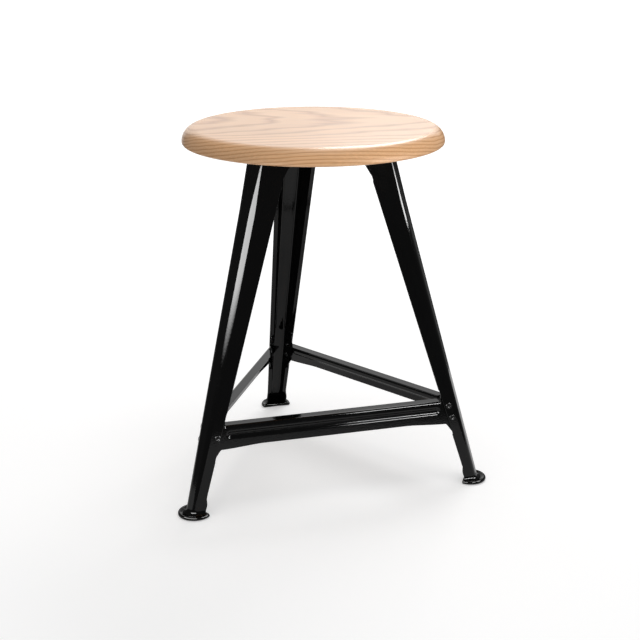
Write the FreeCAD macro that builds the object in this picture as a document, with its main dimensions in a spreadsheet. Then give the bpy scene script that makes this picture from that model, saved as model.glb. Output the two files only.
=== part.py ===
"""Three-legged workshop stool with pressed steel legs and a round wooden seat.

Frame: origin on the floor under the middle of the seat, +Z up, millimetres.
Each leg is a channel of folded sheet that is open towards the middle of the stool and tapers down
to a flanged foot. The flanges of a channel splay so that the facing flanges of two neighbouring legs
lie in one plane. The lower stretchers and the upper braces lie flat against the inside of those
flanges and are riveted there, and the seat is screwed down on the upper braces.
"""
import FreeCAD, Part
import math
import os
import Sketcher

DOC = FreeCAD.newDocument("stool")
LEGS = 3
FIRST_LEG_AZIMUTH = -150.0
LEG_NAMES = ("leg_front_left", "leg_front_right", "leg_rear")
SIDE_NAMES = ("front", "right", "left")
TOLERANCE = 0.01

# Driving sizes in millimetres, each written once.
SIZES = (
    ("seat_height", 504.0),
    ("seat_diameter", 360.0),
    ("seat_thickness", 22.0),
    ("seat_top_rounding", 18.5),
    ("seat_bottom_rounding", 3.0),
    ("leg_edge_radius_floor", 233.2),
    ("leg_edge_radius_top", 76.9),
    ("leg_depth_floor", 11.5),
    ("leg_depth_top", 30.5),
    ("leg_web_floor", 15.8),
    ("leg_web_top", 28.5),
    ("leg_sheet", 2.0),
    ("leg_corner_radius", 8.0),
    ("leg_lip", 4.0),
    ("lip_notch_margin", 2.0),
    ("foot_thickness", 5.0),
    ("foot_floor", 2.0),
    ("foot_proud_nose", 11.8),
    ("foot_proud_side", 9.6),
    ("foot_proud_inner", 8.4),
    ("foot_nose_radius", 23.4),
    ("foot_inner_radius", 4.0),
    ("foot_flare_reach", 5.5),
    ("foot_flare_height", 23.0),
    ("foot_ear", 3.0),
    ("foot_rim_radius", 2.2),
    ("foot_lip_clear", 24.0),
    ("bar_sheet", 1.5),
    ("bar_flange_depth", 15.0),
    ("bar_end_gap", 4.3),
    ("bar_corner_clearance", 5.5),
    ("bar_flare_length", 50.0),
    ("bar_flare_drop", 3.4),
    ("lobe_proud", 5.0),
    ("lobe_reach", 13.0),
    ("lobe_radius", 5.0),
    ("stretcher_bottom", 93.7),
    ("stretcher_web", 30.5),
    ("bead_height", 107.5),
    ("bead_half_length", 148.5),
    ("bead_width", 9.0),
    ("bead_depth", 2.0),
    ("brace_web", 18.0),
    ("brace_flare_length", 18.0),
    ("brace_lobe_reach", 19.0),
    ("brace_flange_depth", 17.0),
    ("rivet_hole", 5.0),
    ("rivet_clearance", 0.1),
    ("rivet_head_diameter", 9.4),
    ("rivet_head_height", 2.0),
    ("rivet_tail_diameter", 7.0),
    ("rivet_tail_height", 1.6),
    ("rivet_pair_inset", 6.4),
    ("rivet_single_inset", 4.1),
    ("stretcher_rivet_upper", 117.0),
    ("stretcher_rivet_lower", 99.5),
    ("stretcher_rivet_single", 107.5),
    ("brace_rivet_upper_drop", 6.5),
    ("brace_rivet_lower_drop", 18.0),
    ("brace_rivet_single_drop", 12.0),
    ("screw_spread", 26.0),
    ("screw_inset", 10.5),
    ("screw_diameter", 4.0),
    ("screw_clearance", 0.2),
    ("screw_length", 16.0),
    ("screw_head_diameter", 8.0),
    ("screw_head_height", 2.6),
    ("screw_slot_width", 1.2),
    ("screw_slot_depth", 1.2),
)


def make_sizes():
    """One row for each driving size: its name, its value and an alias of the same name."""
    sheet = DOC.addObject("Spreadsheet::Sheet", "Sizes")
    for row, (name, value) in enumerate(SIZES, start=1):
        sheet.set(f"A{row}", name)
        sheet.set(f"B{row}", str(value))
        sheet.setAlias(f"B{row}", name)
    DOC.recompute()
    return sheet


SHEET = make_sizes()


def size(name):
    """Value of one driving size."""
    return float(getattr(SHEET, name))


# The leg's outer surface spreads towards the foot plate, and its free edges bulge inwards as ears:
# share of the flare's height, share of its reach, share of the ear.
FLARE_STEPS = (
    (0.0, 1.0, 0.8),
    (0.12, 0.45, 0.9),
    (0.3, 0.14, 1.0),
    (0.55, 0.03, 0.85),
    (0.8, -0.01, 0.35),
    (1.0, -0.02, -0.05),
)
# The splay that puts the facing flanges of neighbouring legs in one plane.
SPLAY = 90.0 - 180.0 / LEGS
TAN_SPLAY = f"tan({SPLAY} deg)"
COS_SPLAY = f"cos({SPLAY} deg)"
SIN_SPLAY = f"sin({SPLAY} deg)"


def cell(text):
    """Expression with every size name in it bound to its cell."""
    words = []
    word = ""
    for sign in text + " ":
        if sign.isalnum() or sign == "_":
            word += sign
            continue
        if word in SIZE_NAMES:
            word = "Sizes." + word
        words.append(word + sign)
        word = ""
    return "".join(words).strip()


SIZE_NAMES = {name for name, _ in SIZES}


def number(text):
    """Present value of an expression, as a plain number."""
    result = SHEET.evalExpression(cell(text))
    return float(getattr(result, "Value", result))


UNDERSIDE = "(seat_height - seat_thickness)"


def along_leg(floor, top, height):
    """A size that runs evenly from the floor to the underside of the seat, at one height."""
    return f"({floor} + ({top} - {floor}) * ({height}) / {UNDERSIDE})"


def edge_radius(height):
    """Distance from the stool's axis to the plane of the channel's free edges."""
    return along_leg("leg_edge_radius_floor", "leg_edge_radius_top", height)


def channel_depth(height):
    return along_leg("leg_depth_floor", "leg_depth_top", height)


def web_half(height):
    return f"({along_leg('leg_web_floor', 'leg_web_top', height)} / 2)"


def nose_radius(height):
    return f"({edge_radius(height)} + {channel_depth(height)})"


def edge_half(height):
    """Half the channel's outer width at its free edges."""
    return f"({web_half(height)} + {channel_depth(height)} * {TAN_SPLAY})"


def side_distance(height):
    """Level distance from the axis to the plane of the facing flanges."""
    return f"({edge_radius(height)} * {SIN_SPLAY} + {edge_half(height)} * {COS_SPLAY})"


def side_edge(height):
    """Level place of a free edge along the side, from the side's middle."""
    return f"({edge_radius(height)} * {COS_SPLAY} - {edge_half(height)} * {SIN_SPLAY})"


def side_corner(height):
    """Level place of the folded corner along the side, from the side's middle."""
    return f"({nose_radius(height)} * {COS_SPLAY} - {web_half(height)} * {SIN_SPLAY})"


# Slopes of the flange planes and of the webs, away from upright, in degrees.
SIDE_TILT = f"atan(({side_distance('0')} - {side_distance(UNDERSIDE)}) / {UNDERSIDE})"
WEB_TILT = f"atan(({nose_radius('0')} - {nose_radius(UNDERSIDE)}) / {UNDERSIDE})"
# The sheet's thickness as a level section shows it, in the flanges and in the web.
FLANGE_LEVEL = f"(leg_sheet / cos({SIDE_TILT}))"
WEB_LEVEL = f"(leg_sheet / cos({WEB_TILT}))"


def check(shape_owner, smallest=0.0):
    """Recompute and stop at any object that failed."""
    DOC.recompute()
    state = shape_owner.State
    shape = shape_owner.Shape
    bad = "Invalid" in state or "Error" in state or shape.isNull() or not shape.isValid()
    if bad or shape.Volume <= smallest:
        raise RuntimeError(f"{shape_owner.Label} failed: {state}")
    return shape_owner


def new_body(label):
    body = DOC.addObject("PartDesign::Body", label)
    body.Label = label
    DOC.recompute()
    return body


def base_plane(body, role):
    """One of the body's own origin planes."""
    for feature in body.Origin.OriginFeatures:
        if feature.Role == role:
            return feature
    raise RuntimeError(role)


def new_sketch(body, name, role="XY_Plane", lift="0", placement=None):
    """A sketch on an origin plane of its body, lifted by an expression or set by a placement."""
    sketch = body.newObject("Sketcher::SketchObject", name)
    sketch.AttachmentSupport = [(base_plane(body, role), "")]
    sketch.MapMode = "FlatFace"
    if placement is not None:
        sketch.AttachmentOffset = placement
    if lift != "0":
        sketch.setExpression("AttachmentOffset.Base.z", cell(lift))
    DOC.recompute()
    return sketch


def pin_point(sketch, geometry, end, across, along):
    """Tie one point of a sketch to two expressions."""
    for kind, text in (("DistanceX", across), ("DistanceY", along)):
        index = sketch.addConstraint(
            Sketcher.Constraint(kind, -1, 1, geometry, end, number(text))
        )
        sketch.setExpression(f"Constraints[{index}]", cell(text))


def draw_polygon(sketch, points):
    """Closed outline of straight lines through points given as pairs of expressions."""
    places = [FreeCAD.Vector(number(across), number(along), 0) for across, along in points]
    count = len(points)
    for index in range(count):
        sketch.addGeometry(Part.LineSegment(places[index], places[(index + 1) % count]))
    for index in range(count):
        sketch.addConstraint(
            Sketcher.Constraint("Coincident", index, 2, (index + 1) % count, 1)
        )
    for index, (across, along) in enumerate(points):
        pin_point(sketch, index, 1, across, along)
    DOC.recompute()
    return sketch


def draw_circles(sketch, places, diameter):
    """Circles of one diameter at places given as pairs of expressions."""
    for across, along in places:
        middle = FreeCAD.Vector(number(across), number(along), 0)
        circle = Part.Circle(middle, FreeCAD.Vector(0, 0, 1), number(diameter) / 2)
        geometry = sketch.addGeometry(circle)
        pin_point(sketch, geometry, 3, across, along)
        index = sketch.addConstraint(
            Sketcher.Constraint("Diameter", geometry, number(diameter))
        )
        sketch.setExpression(f"Constraints[{index}]", cell(diameter))
    DOC.recompute()
    return sketch


def draw_slot(sketch, half_length, height, radius):
    """A long slot with round ends, level, centred on the side."""
    reach = number(half_length) - number(radius)
    rise = number(height)
    bend = number(radius)
    up = FreeCAD.Vector(0, 0, 1)
    right = Part.Circle(FreeCAD.Vector(reach, rise, 0), up, bend)
    left = Part.Circle(FreeCAD.Vector(-reach, rise, 0), up, bend)
    sketch.addGeometry(Part.ArcOfCircle(right, -math.pi / 2, math.pi / 2))
    sketch.addGeometry(Part.ArcOfCircle(left, math.pi / 2, 3 * math.pi / 2))
    for level in (bend, -bend):
        sketch.addGeometry(
            Part.LineSegment(
                FreeCAD.Vector(-reach, rise + level, 0), FreeCAD.Vector(reach, rise + level, 0)
            )
        )
    for arc, arc_end, line, line_end in ((0, 2, 2, 2), (1, 1, 2, 1), (1, 2, 3, 1), (0, 1, 3, 2)):
        sketch.addConstraint(Sketcher.Constraint("Tangent", arc, arc_end, line, line_end))
    pin_point(sketch, 0, 3, f"{half_length} - {radius}", height)
    pin_point(sketch, 1, 3, f"-({half_length} - {radius})", height)
    index = sketch.addConstraint(Sketcher.Constraint("Radius", 0, bend))
    sketch.setExpression(f"Constraints[{index}]", cell(radius))
    DOC.recompute()
    return sketch


def pad(body, sketch, length, reverse=False, both=False):
    feature = body.newObject("PartDesign::Pad", "Pad")
    feature.Profile = sketch
    feature.setExpression("Length", cell(length))
    feature.Reversed = reverse
    feature.Midplane = both
    return check(feature)


def pocket(body, sketch, length, reverse=False):
    """Cut of a given depth, which must take something away."""
    before = body.Shape.Volume
    feature = body.newObject("PartDesign::Pocket", "Pocket")
    feature.Profile = sketch
    feature.setExpression("Length", cell(length))
    feature.Reversed = reverse
    check(feature)
    if body.Shape.Volume > before - TOLERANCE:
        raise RuntimeError(f"{body.Label}: a pocket cuts nothing")
    return feature


def loft(body, kind, first, *others):
    """Straight loft through sketches, added or taken away."""
    feature = body.newObject(f"PartDesign::{kind}", kind)
    feature.Profile = first
    feature.Sections = list(others)
    feature.Ruled = True
    return check(feature)


def round_edges(body, wanted, radius):
    """Fillet on the tip's edges that the test picks."""
    base = body.Tip
    names = [
        f"Edge{index}" for index, edge in enumerate(base.Shape.Edges, start=1) if wanted(edge)
    ]
    if not names:
        raise RuntimeError(f"{body.Label}: no edge to round")
    feature = body.newObject("PartDesign::Fillet", "Fillet")
    feature.Base = (base, names)
    feature.setExpression("Radius", cell(radius))
    return check(feature)


def level_at(edge, height):
    """Whether an edge lies level at one height."""
    box = edge.BoundBox
    return abs(box.ZMin - height) < TOLERANCE and abs(box.ZMax - height) < TOLERANCE


def side_frame(azimuth):
    """Placement whose XY plane is the outer plane of two facing flanges.

    X runs level along the side, Y up the slope and Z outwards; the origin is at floor level.
    """
    tilt = math.radians(number(SIDE_TILT))
    turn = math.radians(azimuth)
    distance = number(side_distance("0"))
    along = FreeCAD.Vector(-math.sin(turn), math.cos(turn), 0)
    outward = FreeCAD.Vector(
        math.cos(turn) * math.cos(tilt), math.sin(turn) * math.cos(tilt), math.sin(tilt)
    )
    upward = outward.cross(along)
    foot = FreeCAD.Vector(math.cos(turn) * distance, math.sin(turn) * distance, 0)
    rotation = FreeCAD.Rotation(along, upward, outward, "XYZ")
    return FreeCAD.Placement(foot, rotation)


def on_slope(place, rise):
    """A level place at a distance up the slope of the side plane."""
    return place(f"({rise}) * cos({SIDE_TILT})")


# The seat's underside up the slope, at the outer face of the bars.
BRACE_TOP = f"(({UNDERSIDE} + leg_sheet * sin({SIDE_TILT})) / cos({SIDE_TILT}))"
BRACE_BOTTOM = f"({BRACE_TOP} - brace_web)"
STRETCHER_TOP = "(stretcher_bottom + stretcher_web)"


def rivet_places():
    """Rivets of the stretcher and of the brace, as lists of (place along the side, rise)."""
    stretcher = [
        (f"{on_slope(side_edge, 'stretcher_rivet_upper')} + rivet_pair_inset", "stretcher_rivet_upper"),
        (f"{on_slope(side_edge, 'stretcher_rivet_lower')} + rivet_pair_inset", "stretcher_rivet_lower"),
        (
            f"-({on_slope(side_edge, 'stretcher_rivet_single')} + rivet_single_inset)",
            "stretcher_rivet_single",
        ),
    ]
    brace = []
    for drop, inset, sign in (
        ("brace_rivet_upper_drop", "rivet_pair_inset", ""),
        ("brace_rivet_lower_drop", "rivet_pair_inset", ""),
        ("brace_rivet_single_drop", "rivet_single_inset", "-"),
    ):
        rise = f"({BRACE_TOP} - {drop})"
        brace.append((f"{sign}({on_slope(side_edge, rise)} + {inset})", rise))
    return stretcher, brace


STRETCHER_RIVETS, BRACE_RIVETS = rivet_places()


def channel_section(body, name, height, inset, reach, inner_end, bend="0"):
    """Level trapezium of the channel: its outside, or its cavity when an inset is given.

    The radial range runs from inner_end outwards to the web; reach is what the web's face gives
    up to the sheet, and bend is the radius of the two folded corners.
    """
    front = f"({nose_radius(height)} - {reach})"

    def half_at(radius):
        return (
            f"({web_half(height)} + ({nose_radius(height)} - {radius}) * {TAN_SPLAY}"
            f" - {inset} / {COS_SPLAY})"
        )

    sketch = new_sketch(body, name, lift=height)
    if bend == "0":
        points = [
            (inner_end, half_at(inner_end)),
            (inner_end, f"-{half_at(inner_end)}"),
            (front, f"-{half_at(front)}"),
            (front, half_at(front)),
        ]
        return draw_polygon(sketch, points)

    flat_half = f"({half_at(front)} - {bend} * tan({(90.0 - SPLAY) / 2} deg))"
    bend_radial = f"({front} - {bend} * (1 - {SIN_SPLAY}))"
    bend_half = f"({flat_half} + {bend} * {COS_SPLAY})"
    stretches = (
        ((bend_radial, bend_half), (inner_end, half_at(inner_end))),
        ((inner_end, half_at(inner_end)), (inner_end, f"-{half_at(inner_end)}")),
        ((inner_end, f"-{half_at(inner_end)}"), (bend_radial, f"-{bend_half}")),
        ((front, f"-{flat_half}"), (front, flat_half)),
    )
    for start, end in stretches:
        places = [FreeCAD.Vector(number(across), number(along), 0) for across, along in (start, end)]
        sketch.addGeometry(Part.LineSegment(*places))
    up = FreeCAD.Vector(0, 0, 1)
    for sign in (1, -1):
        middle = FreeCAD.Vector(number(f"{front} - {bend}"), sign * number(flat_half), 0)
        circle = Part.Circle(middle, up, number(bend))
        spread = math.radians(90.0 - SPLAY)
        span = (0, spread) if sign > 0 else (-spread, 0)
        sketch.addGeometry(Part.ArcOfCircle(circle, *span))
    for first, first_end, second, second_end in (
        (0, 2, 1, 1), (1, 2, 2, 1), (3, 2, 4, 1), (4, 2, 0, 1), (2, 2, 5, 1), (5, 2, 3, 1),
    ):
        sketch.addConstraint(
            Sketcher.Constraint("Coincident", first, first_end, second, second_end)
        )
    for line, (start, end) in ((0, stretches[0]), (2, stretches[2]), (3, stretches[3])):
        pin_point(sketch, line, 1, *start)
        pin_point(sketch, line, 2, *end)
    for arc in (4, 5):
        index = sketch.addConstraint(Sketcher.Constraint("Radius", arc, number(bend)))
        sketch.setExpression(f"Constraints[{index}]", cell(bend))
    DOC.recompute()
    return sketch


def mouth_section(body, name, height):
    """Level rectangle of the gap between the two lips."""
    half = f"({edge_half(height)} - {FLANGE_LEVEL} / {COS_SPLAY} - leg_lip)"
    near = f"({edge_radius(height)} - 4 * leg_sheet)"
    far = f"({edge_radius(height)} + 2 * leg_sheet)"
    sketch = new_sketch(body, name, lift=height)
    return draw_polygon(sketch, [(near, half), (near, f"-{half}"), (far, f"-{half}"), (far, half)])


def make_leg(label, azimuth):
    """One leg: tapered channel, folded lips, flanged foot and rivet holes."""
    body = new_body(label)
    outside_low = channel_section(
        body, "OutsideLow", "0", "0", "0", edge_radius("0"), "leg_corner_radius"
    )
    outside_high = channel_section(
        body, "OutsideHigh", UNDERSIDE, "0", "0", edge_radius(UNDERSIDE), "leg_corner_radius"
    )
    loft(body, "AdditiveLoft", outside_low, outside_high)

    half = f"({edge_half('0')} + foot_proud_side)"
    near = f"({edge_radius('0')} - foot_proud_inner)"
    far = f"({nose_radius('0')} + foot_proud_nose)"
    plate = new_sketch(body, "FootPlate")
    draw_polygon(plate, [(near, half), (near, f"-{half}"), (far, f"-{half}"), (far, half)])
    pad(body, plate, "foot_thickness")
    thick = size("foot_thickness")

    def plate_corner(at):
        def wanted(edge):
            box = edge.BoundBox
            upright = box.XLength < TOLERANCE and box.YLength < TOLERANCE
            return upright and abs(box.XMin - number(at)) < TOLERANCE
        return wanted

    round_edges(body, plate_corner(far), "foot_nose_radius")
    round_edges(body, plate_corner(near), "foot_inner_radius")
    rim = number(half) - TOLERANCE

    def foot_rim(edge):
        box = edge.BoundBox
        if level_at(edge, 0):
            return True
        outer = (
            box.XMin < number(near) + TOLERANCE
            or box.XMax > number(far) - TOLERANCE
            or box.YMax > rim
            or box.YMin < -rim
        )
        return level_at(edge, thick) and outer

    round_edges(body, foot_rim, "foot_rim_radius")

    flare = []
    for index, (rise, spread, ear) in enumerate(FLARE_STEPS):
        height = f"(foot_thickness / 2 + {rise} * foot_flare_height)"
        reach = f"({spread} * foot_flare_reach)"
        flare.append(
            channel_section(
                body, f"Flare{index}", height, f"(-{reach})", f"(-{reach})",
                f"({edge_radius(height)} - {ear} * foot_ear)", f"(leg_corner_radius + {reach})",
            )
        )
    loft(body, "AdditiveLoft", flare[0], *flare[1:])

    over = f"({UNDERSIDE} + leg_sheet)"
    inner_bend = "(leg_corner_radius - leg_sheet)"
    ends = []
    for place, height in (("Low", "foot_floor"), ("High", over)):
        lip_front = f"({edge_radius(height)} + leg_sheet)"
        ends.append(
            channel_section(
                body, f"Cavity{place}", height, FLANGE_LEVEL, WEB_LEVEL, lip_front, inner_bend
            )
        )
    loft(body, "SubtractiveLoft", ends[0], ends[1])

    mouth_low = mouth_section(body, "MouthLow", "foot_thickness")
    mouth_high = mouth_section(body, "MouthHigh", over)
    loft(body, "SubtractiveLoft", mouth_low, mouth_high)

    tilt = f"cos({SIDE_TILT})"
    bands = (
        ("Foot", "foot_thickness", "foot_lip_clear"),
        (
            "Stretcher",
            f"(stretcher_bottom - bar_flare_drop - lobe_reach - lip_notch_margin) * {tilt}",
            f"({STRETCHER_TOP} + lobe_reach + lip_notch_margin) * {tilt}",
        ),
        (
            "Brace",
            f"({BRACE_BOTTOM} - bar_flare_drop - brace_lobe_reach - lip_notch_margin) * {tilt}",
            over,
        ),
    )
    for name, low, high in bands:
        ends = []
        for place, height in (("Low", low), ("High", high)):
            inner = f"({edge_radius(height)} - foot_proud_inner - leg_sheet)"
            back = f"({channel_depth(height)} - 2 * leg_sheet)"
            ends.append(
                channel_section(body, f"{name}Notch{place}", height, FLANGE_LEVEL, back, inner)
            )
        loft(body, "SubtractiveLoft", ends[0], ends[1])

    for sign in (1, -1):
        turn = sign * (90.0 - SPLAY)
        places = []
        for across, rise in STRETCHER_RIVETS + BRACE_RIVETS:
            on_this_flange = across.startswith("-") == (sign > 0)
            if on_this_flange:
                places.append((across, rise))
        holes = new_sketch(body, "RivetHoles", placement=side_frame(turn))
        draw_circles(holes, places, "rivet_hole")
        pocket(body, holes, "3 * leg_sheet")

    body.Placement = FreeCAD.Placement(
        FreeCAD.Vector(0, 0, 0), FreeCAD.Rotation(FreeCAD.Vector(0, 0, 1), azimuth)
    )
    return check(body)


def make_bar(label, azimuth, bottom, top, shape, rivets, bead):
    """A stretcher or brace: folded strip with a level flange and lobed tabs, on its side plane."""
    body = new_body(label)
    outer_face = "-leg_sheet"
    inner_face = "-(leg_sheet + bar_sheet)"
    end = f"({on_slope(side_edge, top)} - bar_end_gap)"
    flange_depth, flare_length, lower_reach, upper_reach = shape
    low = f"({bottom} - bar_flare_drop)"
    low_lobe = f"({low} - {lower_reach})"
    web_top = f"({top} - bar_sheet / 2)"
    high_lobe = f"({web_top} + {upper_reach})"

    def tab_side(rise):
        return f"({on_slope(side_corner, rise)} - bar_corner_clearance)"

    right = [
        (f"{end} - {flare_length}", bottom),
        (f"{on_slope(side_edge, low)} - lobe_proud", low),
        (f"{on_slope(side_edge, low_lobe)}", low_lobe),
        (tab_side(low_lobe), low_lobe),
        (tab_side(high_lobe), high_lobe),
    ]
    if upper_reach != "0":
        right.append((f"{on_slope(side_edge, high_lobe)}", high_lobe))
    right.append((end, web_top))
    left = [(f"-({across})", rise) for across, rise in reversed(right)]
    web = new_sketch(body, "Web", lift=inner_face)
    draw_polygon(web, right + left)
    pad(body, web, "bar_sheet")

    def lobe_corner(edge):
        box = edge.BoundBox
        square = box.XLength < TOLERANCE and box.YLength < TOLERANCE
        beyond = min(abs(box.XMin), abs(box.XMax)) > number(end) + TOLERANCE
        return square and beyond

    round_edges(body, lobe_corner, "lobe_radius")

    section = new_sketch(body, "Flange", role="YZ_Plane")
    level = [
        (top, outer_face),
        (
            f"{top} + {flange_depth} * sin({SIDE_TILT})",
            f"{outer_face} - {flange_depth} * cos({SIDE_TILT})",
        ),
        (
            f"{top} + {flange_depth} * sin({SIDE_TILT}) - bar_sheet * cos({SIDE_TILT})",
            f"{outer_face} - {flange_depth} * cos({SIDE_TILT}) - bar_sheet * sin({SIDE_TILT})",
        ),
        (f"{top} - bar_sheet / cos({SIDE_TILT})", outer_face),
    ]
    draw_polygon(section, level)
    pad(body, section, f"2 * {end}", both=True)

    if bead:
        slot = new_sketch(body, "BeadRidge", lift=inner_face)
        draw_slot(slot, "bead_half_length + bar_sheet / 2", "bead_height", "(bead_width + bar_sheet) / 2")
        pad(body, slot, "bead_depth", reverse=True)
        groove = new_sketch(body, "BeadGroove", lift=outer_face)
        draw_slot(groove, "bead_half_length", "bead_height", "bead_width / 2 - bar_sheet / 2")
        pocket(body, groove, "bead_depth")

    holes = new_sketch(body, "RivetHoles", lift=outer_face)
    draw_circles(holes, rivets, "rivet_hole")
    pocket(body, holes, "3 * bar_sheet")
    body.Placement = side_frame(azimuth)
    return body


def drill_brace(body):
    """Clearance holes for the seat screws, square to the level flange."""
    plane = body.Placement.inverse().multiply(
        FreeCAD.Placement(
            FreeCAD.Vector(0, 0, number(UNDERSIDE)),
            FreeCAD.Rotation(FreeCAD.Vector(0, 0, 1), body_azimuth(body)),
        )
    )
    holes = new_sketch(body, "ScrewHoles", placement=plane)
    places = [(SCREW_DISTANCE, "screw_spread"), (SCREW_DISTANCE, "-screw_spread")]
    draw_circles(holes, places, "screw_diameter + 2 * screw_clearance")
    pocket(body, holes, "3 * bar_sheet")
    return check(body)


def body_azimuth(body):
    """Direction in which a bar's side faces, in degrees."""
    outward = body.Placement.Rotation.multVec(FreeCAD.Vector(0, 0, 1))
    return math.degrees(math.atan2(outward.y, outward.x))


# Level distance of the seat screws from the axis, measured towards the middle of a side.
SCREW_DISTANCE = f"({side_distance(UNDERSIDE)} - {FLANGE_LEVEL} - screw_inset)"


def make_rivet(label, placement):
    """Round head outside, shank through both sheets, flatter formed head inside."""
    body = new_body(label)
    shank = "(rivet_hole / 2 - rivet_clearance)"
    profile = new_sketch(body, "Profile", role="XZ_Plane")
    stack = "(leg_sheet + bar_sheet)"
    head_shoulder = "rivet_head_height / 3"
    tail_shoulder = "rivet_tail_height / 3"
    points = [
        ("0", "rivet_head_height"),
        ("0", f"-({stack} + rivet_tail_height)"),
        ("rivet_tail_diameter / 4", f"-({stack} + rivet_tail_height)"),
        ("rivet_tail_diameter / 2", f"-({stack} + {tail_shoulder})"),
        ("rivet_tail_diameter / 2", f"-{stack}"),
        (shank, f"-{stack}"),
        (shank, "0"),
        ("rivet_head_diameter / 2", "0"),
        ("rivet_head_diameter / 2", head_shoulder),
        ("rivet_head_diameter / 4", "rivet_head_height"),
    ]
    draw_polygon(profile, points)
    turn = body.newObject("PartDesign::Revolution", "Turned")
    turn.Profile = profile
    turn.ReferenceAxis = (profile, ["V_Axis"])
    turn.Angle = 360
    check(turn)
    body.Placement = placement
    return check(body)


def make_screw(label, placement):
    """Wood screw from below: slotted cheese head, shank and tip, pointing up."""
    body = new_body(label)
    profile = new_sketch(body, "Profile", role="XZ_Plane")
    tip = "screw_diameter / 2"
    points = [
        ("0", "-(bar_sheet + screw_head_height)"),
        ("screw_head_diameter / 2", "-(bar_sheet + screw_head_height)"),
        ("screw_head_diameter / 2", "-bar_sheet"),
        ("screw_diameter / 2", "-bar_sheet"),
        ("screw_diameter / 2", f"screw_length - bar_sheet - {tip}"),
        ("0", "screw_length - bar_sheet"),
    ]
    draw_polygon(profile, points)
    turn = body.newObject("PartDesign::Revolution", "Turned")
    turn.Profile = profile
    turn.ReferenceAxis = (profile, ["V_Axis"])
    turn.Angle = 360
    check(turn)
    slot = new_sketch(body, "Slot", lift="-(bar_sheet + screw_head_height)")
    half = "screw_slot_width / 2"
    reach = "screw_head_diameter"
    draw_polygon(slot, [(half, reach), (half, f"-{reach}"), (f"-{half}", f"-{reach}"), (f"-{half}", reach)])
    pocket(body, slot, "screw_slot_depth", reverse=True)
    body.Placement = placement
    return check(body)


def make_seat(side_azimuths):
    """Round board with a large rounding above, a small one below and blind pilot holes."""
    body = new_body("seat")
    disc = new_sketch(body, "Disc", lift=UNDERSIDE)
    draw_circles(disc, [("0", "0")], "seat_diameter")
    pad(body, disc, "seat_thickness")
    round_edges(body, lambda edge: level_at(edge, number("seat_height")), "seat_top_rounding")
    round_edges(body, lambda edge: level_at(edge, number(UNDERSIDE)), "seat_bottom_rounding")
    for azimuth in side_azimuths:
        turned = FreeCAD.Placement(
            FreeCAD.Vector(0, 0, number(UNDERSIDE)),
            FreeCAD.Rotation(FreeCAD.Vector(0, 0, 1), azimuth),
        )
        pilots = new_sketch(body, "Pilots", placement=turned)
        places = [(SCREW_DISTANCE, "screw_spread"), (SCREW_DISTANCE, "-screw_spread")]
        draw_circles(pilots, places, "screw_diameter + 2 * screw_clearance")
        pocket(body, pilots, "screw_length - bar_sheet + screw_clearance", reverse=True)
    return check(body)


def make_side(name, azimuth):
    """Everything on one side: stretcher, brace, their rivets and the seat screws."""
    pieces = []
    pieces.append(
        make_bar(
            f"stretcher_{name}", azimuth, "stretcher_bottom", STRETCHER_TOP,
            ("bar_flange_depth", "bar_flare_length", "lobe_reach", "lobe_reach"),
            STRETCHER_RIVETS, True,
        )
    )
    brace = make_bar(
        f"seat_brace_{name}", azimuth, BRACE_BOTTOM, BRACE_TOP,
        ("brace_flange_depth", "brace_flare_length", "brace_lobe_reach", "0"),
        BRACE_RIVETS, False,
    )
    pieces.append(drill_brace(brace))
    frame = side_frame(azimuth)
    for kind, places in (("stretcher", STRETCHER_RIVETS), ("brace", BRACE_RIVETS)):
        for count, (across, rise) in enumerate(places, start=1):
            seat_on = FreeCAD.Placement(
                FreeCAD.Vector(number(across), number(rise), 0), FreeCAD.Rotation()
            )
            pieces.append(make_rivet(f"{kind}_rivet_{name}_{count}", frame.multiply(seat_on)))
    turned = FreeCAD.Rotation(FreeCAD.Vector(0, 0, 1), azimuth)
    for count, sign in enumerate((1, -1), start=1):
        place = FreeCAD.Vector(number(SCREW_DISTANCE), sign * size("screw_spread"), 0)
        spot = turned.multVec(place)
        spot.z = number(UNDERSIDE)
        pieces.append(make_screw(f"seat_screw_{name}_{count}", FreeCAD.Placement(spot, turned)))
    return pieces


def write_pieces(pieces):
    """Check every object of the document, then write one file for each piece."""
    DOC.recompute()
    for item in DOC.Objects:
        if "Invalid" in item.State or "Error" in item.State:
            raise RuntimeError(f"{item.Label} failed: {item.State}")
    for piece in pieces:
        if piece.Shape.isNull() or not piece.Shape.isValid() or len(piece.Shape.Solids) != 1:
            raise RuntimeError(f"{piece.Label} is not one sound solid")
    os.makedirs("parts", exist_ok=True)
    for piece in pieces:
        piece.Shape.exportStep(f"parts/{piece.Label}.step")
        print(f"{piece.Label}: {piece.Shape.Volume:.1f} mm3")


def main():
    leg_azimuths = [FIRST_LEG_AZIMUTH + 360.0 / LEGS * index for index in range(LEGS)]
    side_azimuths = [azimuth + 180.0 / LEGS for azimuth in leg_azimuths]
    pieces = [make_seat(side_azimuths)]
    for name, azimuth in zip(LEG_NAMES, leg_azimuths):
        pieces.append(make_leg(name, azimuth))
    for name, azimuth in zip(SIDE_NAMES, side_azimuths):
        pieces.extend(make_side(name, azimuth))
    write_pieces(pieces)


main()
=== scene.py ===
"""Looks of a low workshop stool: pale ash seat on black enamelled legs of pressed sheet steel.

Sizes in the shape functions are millimetres in the part's own frame: +Z up from the floor,
the stool's axis in the middle, one leg at the rear and two at the front.
"""

import math

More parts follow.
